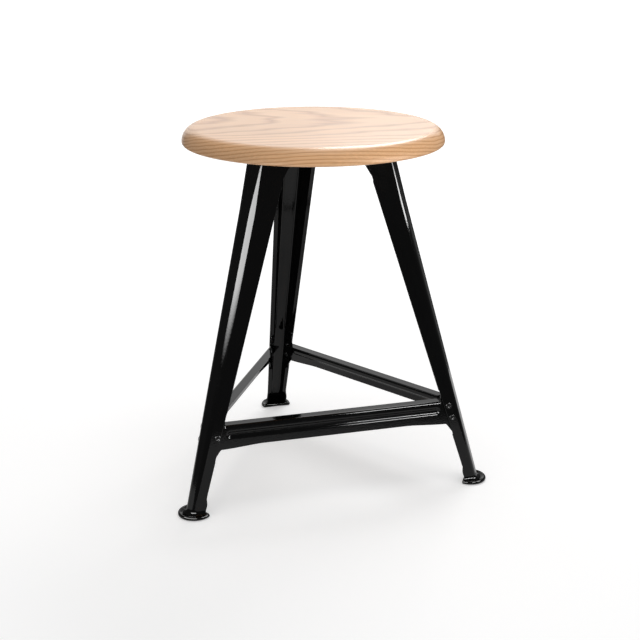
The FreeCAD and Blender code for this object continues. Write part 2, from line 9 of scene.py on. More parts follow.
import bpy
import numpy as np
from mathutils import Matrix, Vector


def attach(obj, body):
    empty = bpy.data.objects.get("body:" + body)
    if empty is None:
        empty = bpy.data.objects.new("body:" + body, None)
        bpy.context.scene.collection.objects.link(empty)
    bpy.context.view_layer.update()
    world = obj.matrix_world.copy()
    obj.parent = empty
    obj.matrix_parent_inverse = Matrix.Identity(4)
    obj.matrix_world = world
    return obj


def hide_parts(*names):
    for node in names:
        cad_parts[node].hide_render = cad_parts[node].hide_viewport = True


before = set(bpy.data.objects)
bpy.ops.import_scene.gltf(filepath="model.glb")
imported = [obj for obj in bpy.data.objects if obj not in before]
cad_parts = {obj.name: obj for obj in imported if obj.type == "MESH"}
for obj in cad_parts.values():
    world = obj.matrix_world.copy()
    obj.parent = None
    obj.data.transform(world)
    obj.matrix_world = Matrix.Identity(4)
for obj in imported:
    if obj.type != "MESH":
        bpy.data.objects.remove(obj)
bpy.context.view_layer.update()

MM = 0.001

# ---------------------------------------------------------------- the stool's sizes
SEAT_TOP = 504.0
SEAT_UNDERSIDE = 482.0
SEAT_RADIUS = 180.0
SEAT_TOP_ROUNDING = 18.5
SEAT_FOOT_ROUNDING = 3.0
SPLAY = math.radians(30.0)
LEG_SHEET = 2.0
LEG_CORNER = ((0.0, 120.0, 250.0, 405.0, 462.0), (8.0, 8.0, 10.0, 11.0, 3.0))
EDGE_RADIUS = (233.2, 76.9)
LEG_DEPTH = (11.5, 30.5)
LEG_WEB = (15.8, 28.5)
LEG_LIP = 4.8
LEGS = {"leg_front_left": -150.0, "leg_front_right": -30.0, "leg_rear": 90.0}
SIDES = {"front": -90.0, "right": 30.0, "left": 150.0}


def evenly(pair, height):
    """A size that runs in a straight line from the floor to the underside of the seat."""
    return pair[0] + (pair[1] - pair[0]) * height / SEAT_UNDERSIDE


def side_distance(height):
    """Distance from the axis to the plane of the facing flanges, at one height."""
    half = evenly(LEG_WEB, height) / 2 + evenly(LEG_DEPTH, height) * math.tan(SPLAY)
    return evenly(EDGE_RADIUS, height) * math.sin(SPLAY) + half * math.cos(SPLAY)


SIDE_TILT = math.atan((side_distance(0.0) - side_distance(SEAT_UNDERSIDE)) / SEAT_UNDERSIDE)
NOSE = (EDGE_RADIUS[0] + LEG_DEPTH[0], EDGE_RADIUS[1] + LEG_DEPTH[1])
WEB_TILT = math.atan((NOSE[0] - NOSE[1]) / SEAT_UNDERSIDE)


# ---------------------------------------------------------------- mesh helpers
EDGE_WIDTH = 0.2
EDGE_ANGLE = 60.0


def smooth_step(low, high, value):
    """0 below low, 1 above high, and the cubic 3t^2 - 2t^3 between them."""
    share = np.clip((value - low) / (high - low), 0.0, 1.0)
    return share * share * (3.0 - 2.0 * share)


def grid_faces(rows, columns, close_rows=False, close_columns=False):
    """Quads of a grid of rows x columns points, as an array of four indices each."""
    row = np.arange(rows if close_rows else rows - 1)
    column = np.arange(columns if close_columns else columns - 1)
    row, column = np.meshgrid(row, column, indexing="ij")
    next_row, next_column = (row + 1) % rows, (column + 1) % columns
    corners = (
        row * columns + column,
        row * columns + next_column,
        next_row * columns + next_column,
        next_row * columns + column,
    )
    return np.stack([corner.ravel() for corner in corners], axis=1)


def capped_faces(rows, columns):
    """Faces of rings from top to bottom, shut by a fan to a top point and one to a bottom point."""
    faces = grid_faces(rows, columns, close_columns=True)[:, ::-1].tolist()
    top, bottom = rows * columns, rows * columns + 1
    first = np.arange(columns)
    second = (first + 1) % columns
    last = (rows - 1) * columns
    faces += np.stack([np.full(columns, top), first, second], axis=1).tolist()
    faces += np.stack([np.full(columns, bottom), last + second, last + first], axis=1).tolist()
    return faces


def add_mesh(name, points, faces, material):
    """An object in the scene, from points in metres and faces, in one material."""
    mesh = bpy.data.meshes.new(name)
    mesh.from_pydata(np.asarray(points).reshape(-1, 3).tolist(), [], faces)
    mesh.validate()
    mesh.update()
    mesh.materials.append(material)
    added = bpy.data.objects.new(name, mesh)
    bpy.context.collection.objects.link(added)
    return added


def make_piece(name, points, faces, material, replaced=(), sharp=35.0):
    """A piece of the stool, from points in millimetres and faces.

    It is shaded smooth except at its sharp edges, and it joins the collection of its material,
    so that a card can be shown to the steel or to the wood alone.
    """
    piece = add_mesh(name, np.asarray(points) * MM, faces, material)
    piece.data.shade_smooth()
    piece.data.set_sharp_from_angle(angle=math.radians(sharp))
    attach(piece, "root")
    if replaced:
        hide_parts(*replaced)
    if material in (BLACK, RIVET_BLACK):
        enamelled.objects.link(piece)
    elif material is ASH:
        wooden.objects.link(piece)
    return piece


def soften(piece):
    """Rounds the cut edges of a bar's sheet by a fraction of a millimetre."""
    bevel = piece.modifiers.new("Edges", "BEVEL")
    bevel.width = EDGE_WIDTH * MM
    bevel.segments = 2
    bevel.limit_method = "ANGLE"
    bevel.angle_limit = math.radians(EDGE_ANGLE)
    bevel.use_clamp_overlap = True
    bevel.harden_normals = True


def turned(points, azimuth):
    """Points turned about the stool's axis by an azimuth in degrees."""
    angle = math.radians(azimuth)
    across, along, height = points[..., 0], points[..., 1], points[..., 2]
    return np.stack(
        [
            across * math.cos(angle) - along * math.sin(angle),
            across * math.sin(angle) + along * math.cos(angle),
            height,
        ],
        axis=-1,
    )


def from_side(points, azimuth):
    """Points of a side's own plane put into the stool's frame.

    In the plane they are given across the side, up its slope and outwards from it.
    """
    across, rise, out = points[..., 0], points[..., 1], points[..., 2]
    base = side_distance(0.0)
    radial = base - rise * math.sin(SIDE_TILT) + out * math.cos(SIDE_TILT)
    height = rise * math.cos(SIDE_TILT) + out * math.sin(SIDE_TILT)
    return turned(np.stack([radial, across, height], axis=-1), azimuth)


# ---------------------------------------------------------------- materials
class Nodes:
    """Short calls for building one material's node tree."""

    def __init__(self, name):
        self.material = bpy.data.materials.new(name)
        self.material.use_nodes = True
        self.tree = self.material.node_tree
        self.shader = self.tree.nodes["Principled BSDF"]
        self.place = self.add("ShaderNodeTexCoord").outputs["Object"]

    def add(self, kind, **settings):
        node = self.tree.nodes.new(kind)
        for key, value in settings.items():
            setattr(node, key, value)
        return node

    def join(self, source, target):
        self.tree.links.new(source, target)

    def scaled(self, scale, source=None):
        mapping = self.add("ShaderNodeMapping")
        mapping.inputs["Scale"].default_value = scale
        self.join(source or self.place, mapping.inputs["Vector"])
        return mapping.outputs["Vector"]

    def noise(self, vector, scale, detail):
        node = self.add("ShaderNodeTexNoise")
        node.inputs["Scale"].default_value = scale
        node.inputs["Detail"].default_value = detail
        self.join(vector, node.inputs["Vector"])
        return node.outputs["Fac"]

    def maths(self, operation, *values):
        node = self.add("ShaderNodeMath", operation=operation)
        for socket, value in zip(node.inputs, values):
            if isinstance(value, float):
                socket.default_value = value
            else:
                self.join(value, socket)
        return node.outputs[0]

    def span(self, value, from_low, from_high, to_low, to_high):
        node = self.add("ShaderNodeMapRange")
        node.inputs["From Min"].default_value = from_low
        node.inputs["From Max"].default_value = from_high
        node.inputs["To Min"].default_value = to_low
        node.inputs["To Max"].default_value = to_high
        self.join(value, node.inputs["Value"])
        return node.outputs["Result"]

    def ramp(self, value, stops):
        node = self.add("ShaderNodeValToRGB")
        elements = node.color_ramp.elements
        while len(elements) < len(stops):
            elements.new(0.5)
        for element, (position, colour) in zip(elements, stops):
            element.position = position
            element.color = (*colour, 1.0)
        self.join(value, node.inputs["Fac"])
        return node.outputs["Color"]

    def bump(self, height, distance, strength=1.0):
        node = self.add("ShaderNodeBump")
        node.inputs["Strength"].default_value = strength
        node.inputs["Distance"].default_value = distance
        self.join(height, node.inputs["Height"])
        self.join(node.outputs["Normal"], self.shader.inputs["Normal"])

    def set(self, name, value):
        self.shader.inputs[name].default_value = value


def enamel(name, colour, roughness):
    """Sprayed enamel: nearly black, uneven by a little in tone and gloss, with a faint ripple."""
    nodes = Nodes(name)
    tone = nodes.noise(nodes.scaled((1.0, 1.0, 0.6)), 22.0, 4.0)
    dark, light = [part * 0.8 for part in colour], [part * 1.25 for part in colour]
    nodes.join(nodes.ramp(tone, [(0.3, dark), (0.7, light)]), nodes.shader.inputs["Base Color"])
    cloud = nodes.noise(nodes.place, 60.0, 3.0)
    nodes.join(
        nodes.span(cloud, 0.3, 0.7, roughness * 0.8, roughness * 1.3),
        nodes.shader.inputs["Roughness"],
    )
    peel = nodes.noise(nodes.place, 420.0, 2.0)
    nodes.bump(peel, 0.00004)
    nodes.set("IOR", 1.3)
    return nodes.material


PITH = (0.03, 0.045, 1.2)
PITH_TURN = (0.0, math.radians(-2.6), math.radians(-17.0))
RINGS_PER_METRE = 218.0
RING_WANDER = (((4.0, 14.0, 6.0), 0.011), ((18.0, 70.0, 30.0), 0.0012))
RING_COLOURS = (
    (0.0, (0.50, 0.24, 0.10)),
    (0.1, (0.60, 0.32, 0.14)),
    (0.26, (0.76, 0.45, 0.235)),
    (0.75, (0.73, 0.42, 0.21)),
    (0.93, (0.60, 0.31, 0.14)),
    (1.0, (0.50, 0.24, 0.10)),
)


def ash_wood():
    """Lacquered ash, cut flat, with fine pores along the grain.

    The growth rings run about a pith far above the board. They show as long lines along its
    edge and as pale pointed figure on top. Noise wanders them, coarsely and then finely.
    """
    nodes = Nodes("lacquered ash")
    mapping = nodes.add("ShaderNodeMapping", vector_type="TEXTURE")
    mapping.inputs["Location"].default_value = PITH
    mapping.inputs["Rotation"].default_value = PITH_TURN
    nodes.join(nodes.place, mapping.inputs["Vector"])
    board = mapping.outputs["Vector"]
    split = nodes.add("ShaderNodeSeparateXYZ")
    nodes.join(board, split.inputs["Vector"])
    across, depth = split.outputs["Y"], split.outputs["Z"]
    squares = [nodes.maths("MULTIPLY", part, part) for part in (across, depth)]
    radius = nodes.maths("SQRT", nodes.maths("ADD", *squares))
    for scale, reach in RING_WANDER:
        swing = nodes.maths("SUBTRACT", nodes.noise(nodes.scaled(scale, board), 1.0, 2.0), 0.5)
        radius = nodes.maths("ADD", radius, nodes.maths("MULTIPLY", swing, reach))
    ring = nodes.maths("FRACT", nodes.maths("MULTIPLY", radius, RINGS_PER_METRE))
    growth = nodes.ramp(ring, RING_COLOURS)
    pores = nodes.noise(nodes.scaled((16.0, 700.0, 700.0), board), 1.0, 2.0)
    tone = nodes.noise(nodes.scaled((3.0, 22.0, 22.0), board), 1.0, 3.0)
    mixed = nodes.maths(
        "MULTIPLY", nodes.span(pores, 0.3, 0.7, 0.9, 1.06), nodes.span(tone, 0.3, 0.7, 0.94, 1.05)
    )
    shade = nodes.add("ShaderNodeVectorMath", operation="SCALE")
    nodes.join(growth, shade.inputs[0])
    nodes.join(mixed, shade.inputs["Scale"])
    nodes.join(shade.outputs["Vector"], nodes.shader.inputs["Base Color"])
    nodes.bump(pores, 0.00004, 0.5)
    nodes.join(nodes.span(pores, 0.3, 0.7, 0.36, 0.46), nodes.shader.inputs["Roughness"])
    nodes.set("Coat Weight", 0.4)
    nodes.set("Coat Roughness", 0.22)
    return nodes.material


def zinc():
    """Bright zinc with a fine turned grain."""
    nodes = Nodes("zinc")
    grain = nodes.noise(nodes.scaled((1.0, 1.0, 5.0)), 900.0, 3.0)
    nodes.join(
        nodes.ramp(grain, [(0.3, (0.42, 0.42, 0.43)), (0.7, (0.62, 0.62, 0.64))]),
        nodes.shader.inputs["Base Color"],
    )
    nodes.join(nodes.span(grain, 0.3, 0.7, 0.25, 0.42), nodes.shader.inputs["Roughness"])
    nodes.set("Metallic", 1.0)
    nodes.bump(grain, 0.00003)
    return nodes.material


enamelled = bpy.data.collections.new("enamelled steel")
wooden = bpy.data.collections.new("wooden board")
BLACK = enamel("black enamel", (0.002, 0.002, 0.0021), 0.07)
RIVET_BLACK = enamel("rivet enamel", (0.0025, 0.0025, 0.0026), 0.3)
ASH = ash_wood()
ZINC = zinc()


# ---------------------------------------------------------------- seat
SEAT_COLUMNS = 288


def make_seat():
    """Round board turned about the axis.

    The profile goes from the middle of the top outwards, a quarter circle of the top rounding,
    the upright side, a small quarter circle below, and back to the middle of the underside.
    """
    quarter = np.linspace(0.0, math.pi / 2, 15)
    big, small = SEAT_TOP_ROUNDING, SEAT_FOOT_ROUNDING
    flat = SEAT_RADIUS - big
    flat_radius = np.concatenate([[0.0, 3.0], np.linspace(12.0, flat - 4.0, 16)])
    low_quarter = quarter[::2]
    radius = np.concatenate(
        [
            flat_radius,
            flat + big * np.sin(quarter),
            SEAT_RADIUS - small + small * np.cos(low_quarter),
            [SEAT_RADIUS - 9.0, 120.0, 60.0, 12.0, 3.0, 0.0],
        ]
    )
    height = np.concatenate(
        [
            np.full(flat_radius.shape, SEAT_TOP),
            SEAT_TOP - big + big * np.cos(quarter),
            SEAT_UNDERSIDE + small - small * np.sin(low_quarter),
            np.full(6, SEAT_UNDERSIDE),
        ]
    )
    angle = np.linspace(0.0, 2 * math.pi, SEAT_COLUMNS, endpoint=False)
    ring_radius, ring_height = radius[1:-1, None], height[1:-1, None]
    rings = np.stack(
        [
            ring_radius * np.cos(angle),
            ring_radius * np.sin(angle),
            ring_height + 0.0 * angle,
        ],
        axis=-1,
    )
    points = np.concatenate([rings.reshape(-1, 3), [[0, 0, SEAT_TOP], [0, 0, SEAT_UNDERSIDE]]])
    faces = capped_faces(*rings.shape[:2])
    make_piece("seat_board", points, faces, ASH, ["seat"], sharp=60.0)


# ---------------------------------------------------------------- legs
WEB_STEPS = 5
CORNER_STEPS = 14
FLANGE_STEPS = 18
FOLD_STEPS = 7
LIP_STEPS = 4
PLAIN_ROWS = 48
NOTCHES = ((-5.0, 24.0), (75.6, 137.6), (439.0, 490.0))
NOTCH_SLOPE = 3.0
NOTCH_STEPS = 9
NOTCH_MARGIN = 0.4
LEAST_ROW_GAP = 0.25
FOOT_TOP = 36.0
FOOT_ROWS = (
    # height, spread of the outer skin, reach of the free edge past its straight line
    (31.0, 0.0, 0.0),
    (27.0, 0.0, 0.1),
    (24.0, 0.0, 0.7),
    (21.0, 0.0, 1.6),
    (18.0, 0.0, 2.5),
    (15.5, 0.0, 3.0),
    (13.0, 0.05, 3.1),
    (11.0, 0.05, 3.0),
    (9.4, 0.1, 2.9),
    (8.2, 0.2, 2.8),
    (7.2, 0.4, 2.8),
    (6.3, 0.8, 3.0),
    (5.5, 1.5, 3.3),
    (4.8, 2.6, 3.6),
    (4.0, 4.2, 4.0),
    (2.6, 4.6, 4.0),
    (1.8, 4.4, 4.0),
)
FOOT_INSIDE = (
    # height, spread of the inner skin
    (31.0, 0.0), (28.0, 0.0), (25.0, 0.0), (22.0, 0.0), (19.0, 0.0), (16.5, 0.0), (14.0, 0.1),
    (12.0, 0.25), (10.4, 0.5), (9.0, 0.8), (7.8, 1.2), (6.7, 1.6), (5.6, 2.0), (4.6, 2.4),
    (3.6, 2.8), (2.7, 3.1), (1.8, 3.3),
)
# each of these pairs: what a bare edge has, and what a whole lip adds to it
EDGE_REACH = (0.6, 1.2)
OUTER_FOLD = (0.45, 0.9)
INNER_FOLD = (0.02, 0.3)
LEAST_CORNER = 1.0
LEAST_EDGE = 0.05
LIP_THICK_SHARE = 0.29
TIP_ROOM = 1.8
CORNER_ROOM = 0.95


def bend(centre, radius, start, stop, steps):
    """Points of a level arc: centre plus radius times (cos, sin) of evenly spaced angles."""
    angle = np.linspace(start, stop, steps)
    return np.stack(
        [
            centre[0][:, None] + radius[:, None] * np.cos(angle),
            centre[1][:, None] + radius[:, None] * np.sin(angle),
        ],
        axis=-1,
    )


def straight(start, stop, steps):
    """Points between two level points of every row, with neither end."""
    share = np.linspace(0.0, 1.0, steps + 2)[1:-1]
    start, stop = np.stack(start, axis=-1), np.stack(stop, axis=-1)
    return start[:, None, :] + (stop - start)[:, None, :] * share[:, None]


def half_channel(front, web_half, edge, corner, fold, tip):
    """Half of a level channel section, from the middle of the web to the lip's tip, for all rows.

    The flange leaves the web at 30 degrees from the radial line. The corner between web and
    flange is an arc of 60 degrees, and the fold between flange and lip one of 120 degrees,
    each tangent to both sides.
    """
    flat = web_half - corner * math.tan(SPLAY)
    middle = np.zeros_like(front)
    corner_centre = (front - corner, flat)
    corner_end = (
        corner_centre[0] + corner * math.cos(math.pi / 3),
        corner_centre[1] + corner * math.sin(math.pi / 3),
    )
    edge_half = web_half + (front - edge) * math.tan(SPLAY)
    back = fold * math.tan(math.pi / 3)
    fold_start = (edge + back * math.cos(SPLAY), edge_half - back * math.sin(SPLAY))
    fold_centre = (edge + fold, edge_half - back)
    return np.concatenate(
        [
            straight((front, middle - flat / WEB_STEPS), (front, flat), WEB_STEPS),
            bend(corner_centre, corner, 0.0, math.pi / 3, CORNER_STEPS),
            straight(corner_end, fold_start, FLANGE_STEPS),
            bend(fold_centre, fold, math.pi / 3, math.pi, FOLD_STEPS),
            straight((edge, edge_half - back), (edge, tip), LIP_STEPS),
            np.stack([edge, tip], axis=-1)[:, None, :],
        ],
        axis=1,
    )


def lip_share(height):
    """1 where the lips are whole and 0 where a notch lets a bar or the foot through."""
    share = np.ones_like(height)
    for low, high in NOTCHES:
        inside = smooth_step(low - NOTCH_SLOPE, low, height)
        inside = inside * (1.0 - smooth_step(high, high + NOTCH_SLOPE, height))
        share = share * (1.0 - inside)
    return share


def leg_rows():
    """Heights of the plain rows: even steps, and short ones across each notch's end."""
    even = np.linspace(FOOT_TOP, SEAT_UNDERSIDE, PLAIN_ROWS)
    slope = np.linspace(-NOTCH_MARGIN, NOTCH_SLOPE + NOTCH_MARGIN, NOTCH_STEPS)
    fine = []
    for low, high in NOTCHES[1:]:
        fine.append(low - slope)
        if high < SEAT_UNDERSIDE:
            fine.append(high + slope)
    rows = np.unique(np.round(np.concatenate([even] + fine), 3))
    keep = np.concatenate([[True], np.diff(rows) > LEAST_ROW_GAP])
    return rows[keep][::-1]


def make_leg(name, azimuth):
    """One pressed leg: a level channel section carried from the seat down into its foot.

    Each row of the outer skin is the section at one height. Near the floor the section spreads
    in a fillet, its free edges swell inwards, and the inner skin follows with its own flare.
    """
    plain = leg_rows()
    foot = np.array(FOOT_ROWS)
    inside = np.array(FOOT_INSIDE)
    zeros = np.zeros_like(plain)
    height = np.concatenate([plain, foot[:, 0]])
    spread = np.concatenate([zeros, foot[:, 1]])
    ear = np.concatenate([zeros, foot[:, 2]])
    inner_height = np.concatenate([plain, inside[:, 0]])
    inner_spread = np.concatenate([zeros, inside[:, 1]])

    def section(level, spread, inner):
        share = lip_share(level)
        edge = evenly(EDGE_RADIUS, level) - ear - EDGE_REACH[0] - EDGE_REACH[1] * share
        front = evenly(EDGE_RADIUS, level) + evenly(LEG_DEPTH, level)
        web_half = evenly(LEG_WEB, level) / 2
        flange = LEG_SHEET / math.cos(SIDE_TILT)
        mouth_half = web_half + (front - edge) * math.tan(SPLAY)
        tip = mouth_half + (spread - flange) / math.cos(SPLAY) - LEG_LIP * share
        fold = OUTER_FOLD[0] + OUTER_FOLD[1] * share
        corner = np.interp(level, *LEG_CORNER) + spread
        nose = side = spread
        if inner:
            nose = nose - LEG_SHEET / math.cos(WEB_TILT)
            side = side - flange
            corner = np.maximum(corner - LEG_SHEET, LEAST_CORNER)
            lip_thick = LEG_SHEET * np.clip(share / LIP_THICK_SHARE, 0.0, 1.0)
            edge = edge + np.maximum(lip_thick, LEAST_EDGE)
            fold = INNER_FOLD[0] + INNER_FOLD[1] * share
        front_half = web_half - nose * math.tan(SPLAY) + side / math.cos(SPLAY)
        if inner:
            half_there = front_half + (front + nose - edge) * math.tan(SPLAY)
            tip = np.minimum(tip, half_there - TIP_ROOM * fold)
        corner = np.minimum(corner, CORNER_ROOM * front_half / math.tan(SPLAY))
        half = half_channel(front + nose, front_half, edge, corner, fold, tip)
        whole = np.concatenate([half[:, :0:-1] * [1.0, -1.0], half], axis=1)
        level = np.broadcast_to(level[:, None, None], whole.shape[:2] + (1,))
        return np.concatenate([whole, level], axis=-1)

    outer = section(height, spread, False)
    inner = section(inner_height, inner_spread, True)
    loop = np.concatenate([outer, inner[::-1]])
    rows, columns = loop.shape[:2]
    faces = grid_faces(rows, columns, close_rows=True)
    count = outer.shape[0]
    row = np.arange(count - 1)
    for column, order in ((0, 1), (columns - 1, -1)):
        cap = np.stack(
            [
                row * columns + column,
                (row + 1) * columns + column,
                (rows - 2 - row) * columns + column,
                (rows - 1 - row) * columns + column,
            ],
            axis=1,
        )
        faces = np.concatenate([faces, cap[:, ::order]])
    faces = faces[:, ::-1].tolist()
    points = turned(loop, azimuth)
    make_piece(f"{name}_pressing", points, faces, BLACK, [name])


FOOT_MIDDLE = 232.8
FOOT_ROUND = 23.5
FOOT_CHORD = 224.9
FOOT_CORNER = 3.5
FOOT_COLUMNS = 144
FOOT_RIM_WIDTH = 4.0
FOOT_LEAST_SHARE = 0.25
FOOT_RIM = (
    # inset from the rim, height: over the top from the middle, round the rim and back below
    (11.0, 3.0), (9.0, 2.95), (7.6, 2.9), (6.4, 3.0), (5.4, 3.35), (4.6, 3.8), (3.8, 4.3),
    (3.0, 4.7), (2.2, 4.85), (1.5, 4.7), (0.85, 4.25), (0.35, 3.55), (0.05, 2.7), (0.0, 1.9),
    (0.2, 1.1), (0.7, 0.45), (1.4, 0.1), (2.2, 0.0), (8.0, 0.0),
)


def foot_outline():
    """Angles round the foot's middle, and its outline's radius at each.

    The outline is a circle cut by a straight inner edge. The smooth minimum
    -log(exp(-kp) + exp(-kq)) / k of the circle p and of the edge's distance q rounds the corners.
    """
    angle = np.linspace(0.0, 2 * math.pi, FOOT_COLUMNS, endpoint=False)
    inward = np.maximum(-np.cos(angle), 1e-3)
    chord = np.minimum((FOOT_MIDDLE - FOOT_CHORD) / inward, 60.0)
    keen = 3.2 / FOOT_CORNER
    return angle, -np.log(np.exp(-keen * FOOT_ROUND) + np.exp(-keen * chord)) / keen


def make_foot(name, azimuth):
    """Foot plate with a rolled rim: the rim's profile carried round the outline.

    Where the profile has left the rim, it shrinks evenly towards the middle, where it is shut.
    """
    angle, reach = foot_outline()
    profile = np.array(FOOT_RIM)
    inset, height = profile[:, :1], profile[:, 1:]
    radius = reach - inset
    shrunk = np.minimum(radius, reach * (1.0 - inset / FOOT_ROUND))
    shrunk = np.maximum(shrunk, FOOT_LEAST_SHARE * reach)
    radius = np.where(inset < FOOT_RIM_WIDTH, radius, shrunk)
    rings = np.stack(
        [
            FOOT_MIDDLE + radius * np.cos(angle),
            radius * np.sin(angle),
            height + 0.0 * angle,
        ],
        axis=-1,
    )
    middle = [[FOOT_MIDDLE, 0.0, FOOT_RIM[0][1]], [FOOT_MIDDLE, 0.0, 0.0]]
    points = np.concatenate([rings.reshape(-1, 3), middle])
    faces = capped_faces(*rings.shape[:2])
    make_piece(name, turned(points, azimuth), faces, BLACK)


# ---------------------------------------------------------------- stretchers and seat braces
BAR_SHEET = 1.5
BAR_END_GAP = 4.3
BAR_CORNER_GAP = 5.5
BAR_FOLD = 4.2
BEAD_HEIGHT = 110.2
BEAD_HALF = 148.5
BEAD_RIM = 6.2
BEAD_FLOOR = 1.4
BEAD_DEPTH = 2.4
BAR_DROP = 3.4
BAR_LEAN = 40.0
BAR_FOLD_STEPS = 8
FLANGE_RUN_STEPS = 9
FLANGE_CORNER = 3.0
# a lower lobe starts and ends its growth at these distances past the leg's edge, and
# the upper one starts past the bar's end and ends past the leg's edge
LOBE_SLOPE = (-6.0, 2.0)
CREST_SLOPE = (0.2, 1.6)


def free_edge(rise):
    """Place of a leg's free edge across a side's plane, at a rise up the slope."""
    height = rise * math.cos(SIDE_TILT)
    half = evenly(LEG_WEB, height) / 2 + evenly(LEG_DEPTH, height) * math.tan(SPLAY)
    return evenly(EDGE_RADIUS, height) * math.cos(SPLAY) - half * math.sin(SPLAY)


def folded_corner(rise):
    """Place of a leg's folded corner across a side's plane, at a rise up the slope."""
    height = rise * math.cos(SIDE_TILT)
    nose = evenly(EDGE_RADIUS, height) + evenly(LEG_DEPTH, height)
    return nose * math.cos(SPLAY) - evenly(LEG_WEB, height) / 2 * math.sin(SPLAY)


class Bar:
    """The shape of one kind of bar: where its web and flange run, and how far its lobes reach.

    The columns are the grid's steps between the places that bar_columns marks.
    """

    def __init__(self, bottom, top, depth, flare, low_lobe, high_lobe, bead, rows, columns):
        self.bottom, self.top, self.depth, self.flare = bottom, top, depth, flare
        self.low_lobe, self.high_lobe, self.bead = low_lobe, high_lobe, bead
        self.rows, self.columns = rows, columns
        self.end = free_edge(top) - BAR_END_GAP
        self.outermost = folded_corner(top) - BAR_CORNER_GAP


BRACE_TOP = (SEAT_UNDERSIDE + LEG_SHEET * math.sin(SIDE_TILT)) / math.cos(SIDE_TILT)
STRETCHER = Bar(93.7, 124.2, 15.0, 50.0, 13.0, 13.0, True, 62, (16, 10, 40, 16, 14))
BRACE = Bar(BRACE_TOP - 18.0, BRACE_TOP, 17.0, 18.0, 19.0, 0.0, False, 30, (10, 10, 20, 12, 14))


def bar_columns(bar):
    """Places across the bar: close together at the lobes and the bead's ends, wide in between."""
    edge = free_edge(bar.top)
    marks = [0.0, bar.end - 34.0, bar.end - 22.0, bar.end, edge + 3.0, bar.outermost]
    half = [
        np.linspace(start, stop, count, endpoint=False)
        for start, stop, count in zip(marks[:-1], marks[1:], bar.columns)
    ]
    half = np.concatenate(half + [[bar.outermost]])
    return np.concatenate([-half[:0:-1], half])


def make_bar(name, azimuth, bar, replaced):
    """A folded strip with lobed tabs: its outer face on a grid, thickened inwards.

    Across the bar, the web's lower and upper outlines are sums of smooth steps, which draw
    the flare and the lobes. Columns near the ends lean with the legs. The bead is pressed in
    by a smooth step of the distance from its middle line. The flange leaves the web by an arc.
    """
    place = bar_columns(bar)
    reach = np.abs(place)
    edge = free_edge(bar.top)
    flare = smooth_step(bar.end - bar.flare, bar.end, reach)
    lobe = smooth_step(edge + LOBE_SLOPE[0], edge + LOBE_SLOPE[1], reach)
    crest = smooth_step(bar.end + CREST_SLOPE[0], edge + CREST_SLOPE[1], reach)
    low = bar.bottom - BAR_DROP * flare - bar.low_lobe * lobe
    fold_angle = math.pi / 2 + SIDE_TILT
    fold_start = bar.top - BAR_FOLD * math.tan(fold_angle / 2)
    high = fold_start + (bar.high_lobe + bar.top - fold_start) * crest
    share = np.linspace(0.0, 1.0, bar.rows)[:, None]
    rise = low + (high - low) * share
    lean = smooth_step(bar.end - BAR_LEAN, bar.end, reach)
    across = place + np.sign(place) * lean * (free_edge(rise) - edge)
    out = np.full_like(rise, -LEG_SHEET)
    if bar.bead:
        beyond = np.maximum(np.abs(across) - BEAD_HALF, 0.0)
        away = np.hypot(beyond, rise - BEAD_HEIGHT)
        out = out - BEAD_DEPTH * (1.0 - smooth_step(BEAD_FLOOR, BEAD_RIM, away))
    web = np.stack([across, rise, out], axis=-1)

    inner = reach <= bar.end + 1e-6
    turn = np.linspace(0.0, fold_angle, BAR_FOLD_STEPS)[1:, None]
    fold_rise = fold_start + BAR_FOLD * np.sin(turn)
    fold_out = -LEG_SHEET - BAR_FOLD * (1.0 - np.cos(turn))
    corner = np.clip(reach[inner] - (bar.end - FLANGE_CORNER), 0.0, FLANGE_CORNER)
    depth = bar.depth - FLANGE_CORNER + np.sqrt(np.maximum(FLANGE_CORNER**2 - corner**2, 0.0))
    run = (depth - BAR_FOLD) * np.linspace(0.0, 1.0, FLANGE_RUN_STEPS)[1:, None]
    flange_rise = fold_rise[-1] + run * math.sin(SIDE_TILT)
    flange_out = fold_out[-1] - run * math.cos(SIDE_TILT)
    level = across[-1][inner] + 0.0 * turn
    fold = np.stack([level, fold_rise + 0.0 * level, fold_out + 0.0 * level], axis=-1)
    flat = np.stack([across[-1][inner] + 0.0 * run, flange_rise, flange_out], axis=-1)
    flange = np.concatenate([fold, flat])

    # the flange's first row of points is the part of the web's last row that it hangs on
    rows, columns = web.shape[:2]
    flange_rows, flange_columns = flange.shape[:2]
    index = np.concatenate(
        [
            (rows - 1) * columns + np.flatnonzero(inner),
            rows * columns + np.arange(flange_rows * flange_columns),
        ]
    )
    flange_faces = index[grid_faces(flange_rows + 1, flange_columns)]
    faces = np.concatenate([grid_faces(rows, columns), flange_faces]).tolist()
    points = from_side(np.concatenate([web.reshape(-1, 3), flange.reshape(-1, 3)]), azimuth)
    piece = make_piece(name, points, faces, BLACK, [replaced])
    wall = piece.modifiers.new("Sheet", "SOLIDIFY")
    wall.thickness = BAR_SHEET * MM
    wall.offset = -1.0
    wall.use_even_offset = True
    return piece


# ---------------------------------------------------------------- rivets
RIVET_STACK = LEG_SHEET + BAR_SHEET
RIVET_HEAD = (
    (0.8, 0.55), (1.5, 0.95), (2.1, 1.5), (2.7, 1.9), (3.3, 2.0), (3.9, 1.75), (4.4, 1.2),
    (4.7, 0.55), (4.75, -0.3), (2.4, -0.3), (2.4, -RIVET_STACK + 0.2),
)
RIVET_TAIL = (
    (3.5, 0.2), (3.55, -0.5), (3.2, -1.2), (2.5, -1.55), (1.8, -1.4), (1.2, -0.8),
)


RIVET_DIMPLES = (0.45, -RIVET_STACK - 0.7)
RIVET_COLUMNS = 40
